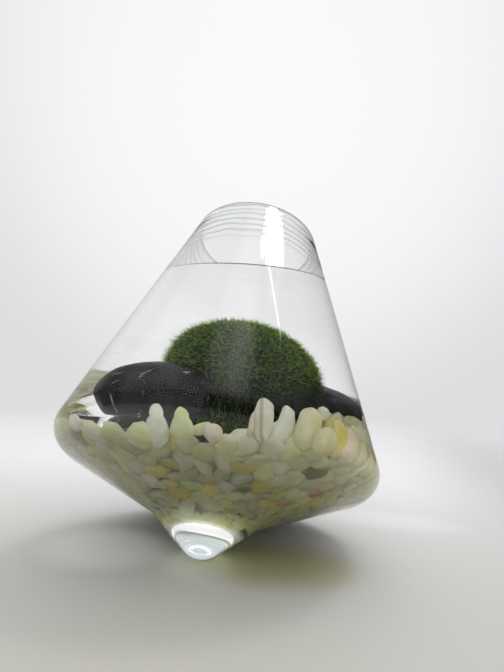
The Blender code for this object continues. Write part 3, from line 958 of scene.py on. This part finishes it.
# Random spots in the bed, pushed apart until they fit
def packedSpots(chance, radii):
    top = bedTop()
    low, high = (np.array(corner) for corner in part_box("gravel_bed"))
    spots = np.empty((0, 3))
    while len(spots) < len(radii):
        more = chance.uniform(low, high, (4000, 3))
        depth, _ = toGlass(more)
        highest, _ = highestAt(more, depth, top)
        spots = np.vstack((spots, more[(depth > 1.5 * mm) & (more[:, 2] < highest - 1 * mm)]))
    spots = spots[:len(radii)]
    spots = spots[np.argsort(spots[:, 2] + chance.normal(0, 5 * mm, len(spots)))]
    reach = (radii[:, None] + radii[None, :]) * bed["apart"]
    inTheWay = np.vstack([pointsOf(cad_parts[node].data) for node in chipTones])
    inTheWay = np.unique(np.round(inTheWay, 5), axis=0)
    chunks = np.array_split(np.arange(len(radii)), 6)
    for turn in range(bed["rounds"]):
        if turn % 8 == 0:
            far = np.linalg.norm(spots[:, None] - spots[None, :], axis=2)
            one, other = np.nonzero(np.triu(far < reach + 3 * mm, 1))
        apart = spots[one] - spots[other]
        far = np.linalg.norm(apart, axis=1)
        push = apart / (far + 1e-9)[:, None] * np.clip(reach[one, other] - far, 0, None)[:, None] * bed["push"]
        np.add.at(spots, one, push)
        np.add.at(spots, other, -push)
        for group in chunks:
            away = spots[group][:, None] - inTheWay[None]
            far = np.linalg.norm(away, axis=2)
            close = far.argmin(1)
            far, away = far[np.arange(len(far)), close], away[np.arange(len(far)), close]
            spots[group] += away / far[:, None] * np.clip(radii[group] * bed["fromChips"] - far, 0, None)[:, None]
        depth, ways = toGlass(spots)
        highest, onBank = highestAt(spots, depth, top)
        spots[:, 2] = np.minimum(spots[:, 2], highest + radii * np.where(onBank, bed["bankProud"], bed["proud"]))
        spots -= ways * np.clip(radii * bed["fromWall"] - depth, 0, None)[:, None]
    return spots


# Chips against the glass lie flat on it, and the others lie anyhow
def bedLayout():
    chance = np.random.default_rng(bed["seed"])
    radii = np.sort(chance.uniform(*bed["radius"], bed["count"])) * mm
    spots = packedSpots(chance, radii)
    depths, ways = toGlass(spots)
    layout = {"turn": [], "size": [], "tone": []}
    names = list(tones)
    weights = np.array([tones[name][1] for name in names])
    for k, spot in enumerate(spots):
        facing, depth = Vector(ways[k]), depths[k]
        spin = Matrix.Rotation(chance.uniform(0, math.tau), 3, "Z")
        wide, broad, flat = (chance.uniform(*bed[side]) for side in ("wide", "broad", "flat"))
        near = depth < bed["near"] * radii[k]
        if near:
            turn = facing.to_track_quat("Z", "Y").to_matrix() @ spin
            turn = turn @ Euler((*chance.normal(0, bed["tilt"], 2), 0)).to_matrix()
            spots[k] = spot + ways[k] * max(depth - flat * radii[k] * bed["pressed"], -1 * mm)
        else:
            turn = Euler(chance.uniform(0, math.tau, 3)).to_matrix()
        layout["turn"].append(tuple(turn.to_euler()))
        layout["size"].append(radii[k] * np.array((wide, broad, flat)))
        base = np.array(tones[names[chance.choice(len(names), p=weights / weights.sum())]][0])
        height = np.clip((spot[2] / mm - 6) / 30, 0, 1)
        patchy = np.clip(0.97 + 0.6 * noise.noise(Vector(spot) * 75), 0.74, 1.0)
        # Painted shade, darker and yellower low in the bed
        heightShade = np.array(bed["low"]) * (1 - height) + np.array(bed["high"]) * height
        # Painted shade darkens the chips away from the glass, for the shade in the gaps between the front ones
        patchy *= 1.0 if near else bed["deepPaintedShade"]
        layout["tone"].append(np.minimum(base * heightShade * patchy * chance.uniform(0.84, 1.05), 0.985))
    for name, place in bed["marked"].items():
        layout["tone"][np.linalg.norm(spots - np.array(place) * mm, axis=1).argmin()] = np.array(tones[name][0])
    return spots, layout


def heapTree():
    inputs = {"Lumps": "Float", "Stone": "Material"}
    tree, maker, start = geometryTree("chipHeap", inputs)
    place = maker.add("GeometryNodeInputPosition")
    blank = maker.add("GeometryNodeMeshIcoSphere", {}, {"Radius": 1.0, "Subdivisions": 2})
    upright = maker.split(place)[2]
    # Where a flat chip's rim lies, for the painted light on its edge and the extra light it lets through there
    edge = 1 - (upright * upright).ease(0.02, 0.35)
    blank = maker.stored(maker.stored(blank, "facing", place, "FLOAT_VECTOR"), "edge", edge)
    centred = maker.stored(start, "centre", place, "FLOAT_VECTOR")

    def named(label):
        return maker.add("GeometryNodeInputNamedAttribute", {"data_type": "FLOAT_VECTOR"}, {"Name": label})

    turn = maker.add("FunctionNodeEulerToRotation", {}, {0: named("turn")})
    laid = maker.add("GeometryNodeInstanceOnPoints", {}, {
        "Points": centred, "Instance": blank, "Rotation": turn, "Scale": named("size")})
    out = maker.vector("SUBTRACT", place, named("centre"))
    seed = maker.vector("SCALE", named("centre"), None, None, 900.0)
    lump = maker.noise(maker.vector("ADD", named("facing"), seed), 1.7, 2.0)
    factor = (lump - 0.5) * start.other("Lumps") * 4
    moved = maker.vector("SCALE", out, None, None, factor)
    shaped = laid.then("RealizeInstances").then("SetPosition", Offset=moved).then("SetShadeSmooth")
    closeTree(maker, shaped.then("RealizeInstances").then("SetMaterial", Material=start.other("Stone")))
    return tree


def makeBed():
    spots, layout = bedLayout()
    made = grown("gravelBed", pointMesh("bedSpots", spots, layout), heapTree(),
                 {"Lumps": bed["lumps"], "Stone": tumbledStone})
    heldByGlass(made.data, bed["fromGlass"])
    return made


gravelBed = makeBed()
print("bed made:", len(gravelBed.data.polygons), "faces")


# The table's colour is painted paler towards the back and darker at the back right, for how the light falls on it,
# with a painted shadow under the vase and painted glows where the vase throws light. Patches have their place and
# size in millimetres, the rest is in metres
table = {
    "radius": 0.9,
    "solidTo": 0.14,
    "goneAt": 0.5,
    "front": (0.350, 0.342, 0.310),
    "back": (0.575, 0.57, 0.575),
    "backRight": (0.405, 0.405, 0.405),
    "backFrom": (-0.12, 0.14),
    "rightFrom": (0.06, 0.14),
    "shadow": (0.30, 0.292, 0.165),
    "shadowPatch": {"place": (20, -16), "size": (36, 25), "full": 0.0},
    "glows": [
        {"place": (-3.2, -7.5), "size": (6.8, 10.8), "full": 0.5, "strength": 0.9},
        {"place": (-34, -22), "size": (26, 24), "full": 0.0, "strength": 0.11},
        {"place": (58, 45), "size": (40, 16), "full": 0.0, "strength": 0.06},
    ],
}


def makeTable():
    bm = bmesh.new()
    bmesh.ops.create_circle(bm, cap_ends=True, segments=96, radius=table["radius"])
    mesh = intoMesh(bm, bpy.data.meshes.new("table"))
    made, maker, shader = plainMaterial("paleTable", {"Roughness": 0.6, "Emission Strength": 1.0})
    x, y, _ = maker.split(maker.place())
    out = (x * x + y * y) ** 0.5

    def patch(spec):
        across, along = ((way - at * mm) / (size * mm) for way, at, size in zip((x, y), spec["place"], spec["size"]))
        return 1 - (across * across + along * along).ease(spec["full"], 1.0)

    # Painted light and shade: glows where the vase throws light, the paler back, the darker back right and the
    # shadow under the vase
    glow = sum(patch(spec) * spec["strength"] for spec in table["glows"])
    far = maker.mixed(x.ease(*table["rightFrom"]), table["back"], table["backRight"])
    pale = maker.mixed(y.ease(*table["backFrom"]), table["front"], far)
    pale = maker.mixed(patch(table["shadowPatch"]), pale, table["shadow"])
    feed(maker, shader, {"Base Color": pale, "Emission Color": maker.mixed(glow, (0, 0, 0), (1, 1, 1))})
    clear = maker.add("ShaderNodeBsdfTransparent")
    mixShaders(maker, shader, clear, out.ease(table["solidTo"], table["goneAt"]))
    mesh.materials.append(made)
    return linked("table", mesh)


# Light as patches of the world: what the object is lit by, and what its glass mirrors. The camera itself sees
# the pale paper. A patch has its bearing from +Y towards +X and its height in degrees, its size in degrees from
# full to none, and its strength.
studio = {
    "paper": (0.94, 0.945, 0.955),
    "paperLow": 0.774,
    "paperPatches": [{"bearing": -12, "height": 27, "size": (4, 36), "strength": 0.23}],
    "front": 1.3,
    "frontLow": 0.9,
    "fromRight": 0.4,
    "behind": 0.86,
    "above": 2.1,
    "lightPatches": [{"bearing": 40, "height": 63, "size": (5, 8), "strength": 14.0}],
    "mirrorFront": 0.02,
    "mirrorPatches": [
        {"bearing": -35, "height": 0, "size": (28, 52), "strength": 0.5},
        {"bearing": 28, "height": 64.5, "size": (3.2, 4.8), "strength": 9.0},
        {"bearing": 32, "height": 71.5, "size": (1.8, 3), "strength": 7.0},
        {"bearing": 30, "height": 84, "size": (3, 14), "strength": 0.75},
        {"bearing": 84, "height": 78, "size": (0, 9), "strength": 0.6},
        {"bearing": 60, "height": 70, "size": (5, 40), "strength": 0.25},
        {"bearing": -85, "height": 58, "size": (4, 26), "strength": 0.3},
    ],
    "brightLine": {"from": (37, 71), "to": (61, 58), "width": 0.65, "strength": 4.0},
    "bounces": 24,
}


def wayTo(bearing, height):
    bearing, height = math.radians(bearing), math.radians(height)
    return Vector((math.sin(bearing) * math.cos(height), math.cos(bearing) * math.cos(height), math.sin(height)))


# A thin bright line in the mirrored world between two ways
def brightLine(maker, facing, spec):
    first, last = wayTo(*spec["from"]), wayTo(*spec["to"])
    aside = maker.vector("DOT_PRODUCT", facing, first.cross(last).normalized(), output=1)
    off = (aside * aside).ease(0, math.sin(math.radians(spec["width"])) ** 2)
    half = first.angle(last) / 2
    within = maker.vector("DOT_PRODUCT", facing, (first + last).normalized(), output=1)
    return (1 - off) * within.ease(math.cos(half * 1.1), math.cos(half * 0.9)) * spec["strength"]


def patches(maker, facing, specs):
    total = 0
    for spec in specs:
        near = maker.vector("DOT_PRODUCT", facing, wayTo(spec["bearing"], spec["height"]), output=1)
        full, none = (math.cos(math.radians(size)) for size in spec["size"])
        total = near.ease(none, full) * spec["strength"] + total
    return total


def makeStudio():
    world = bpy.data.worlds.new("studio")
    bpy.context.scene.world = world
    world.use_nodes = True
    maker = Maker(world.node_tree)
    background = world.node_tree.nodes["Background"]
    facing = maker.add("ShaderNodeTexCoord")
    x, y, z = maker.split(facing)
    behind, above = y.ease(-0.3, 0.3), z.ease(0.45, 0.8)
    front = z.ease(0.1, 0.6) * (studio["front"] - studio["frontLow"]) + studio["frontLow"]
    front = front * (x * studio["fromRight"] + 1)
    lit = front * (1 - behind) + studio["behind"] * behind
    lit = lit * (1 - above) + studio["above"] * above + patches(maker, facing, studio["lightPatches"])
    mirrored = patches(maker, facing, studio["mirrorPatches"]) + studio["mirrorFront"]
    mirrored = mirrored + brightLine(maker, facing, studio["brightLine"])
    paper = patches(maker, facing, studio["paperPatches"]) + studio["paperLow"]
    path = maker.add("ShaderNodeLightPath")
    direct = path.other("Is Camera Ray")
    mirror = path.other("Is Reflection Ray") * (1 - path.other("Is Diffuse Ray"))
    strength = direct * paper + (1 - direct) * (mirror * mirrored + (1 - mirror) * lit)
    background.inputs[0].default_value = (*studio["paper"], 1.0)
    maker.tree.links.new(strength.link, background.inputs[1])


# The focal length is in the photo's pixels, the way from the vase's foot in millimetres and turns in degrees
camera = {
    "focal": 519.5,
    "photoHeight": 672.0,
    "sensor": 36.0,
    "fromFoot": (52.01, -158.40, 64.23),
    "turn": 13.26,
    "rise": 2.82,
    "roll": 2.30,
}


def makeCamera():
    turn, rise, roll = (math.radians(camera[name]) for name in ("turn", "rise", "roll"))
    aside = Matrix.Rotation(turn, 3, "Z")
    ahead = aside @ Vector((0, math.cos(rise), math.sin(rise)))
    up = aside @ Vector((0, -math.sin(rise), math.cos(rise)))
    right = aside @ Vector((1, 0, 0))
    right, up = right * math.cos(roll) + up * math.sin(roll), up * math.cos(roll) - right * math.sin(roll)
    data = bpy.data.cameras.new("photographer")
    data.sensor_fit = "VERTICAL"
    data.sensor_height = camera["sensor"]
    data.lens = camera["focal"] * camera["sensor"] / camera["photoHeight"]
    data.clip_start = 0.001
    made = linked("photographer", data)
    made.matrix_world = Matrix((right, up, -ahead)).transposed().to_4x4()
    made.location = (Vector(camera["fromFoot"]) + Vector((0, vase["footY"], 0))) * mm
    bpy.context.scene.camera = made


tableTop = makeTable()
makeStudio()
makeCamera()
bpy.context.scene.view_settings.view_transform = "Standard"
cycles = bpy.context.scene.cycles
cycles.max_bounces = cycles.transmission_bounces = cycles.transparent_max_bounces = studio["bounces"]
cycles.diffuse_bounces = studio["bounces"]
print("studio ready")

standIns = {
    "glass_vase": (glassVase, "glass"),
    "water": (stillWater, "water"),
    "marimo_ball": (mossBall, "moss"),
    "gravel_bed": (gravelBed, "gravel"),
}
for node, piece in pebblePieces.items():
    standIns[node] = (piece, "black_stone")
for node, piece in chipPieces.items():
    standIns[node] = (piece, chipTones[node])
for node, (piece, slot) in standIns.items():
    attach(piece, "root")
    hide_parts(node)
print("pieces handed over:", len(standIns))
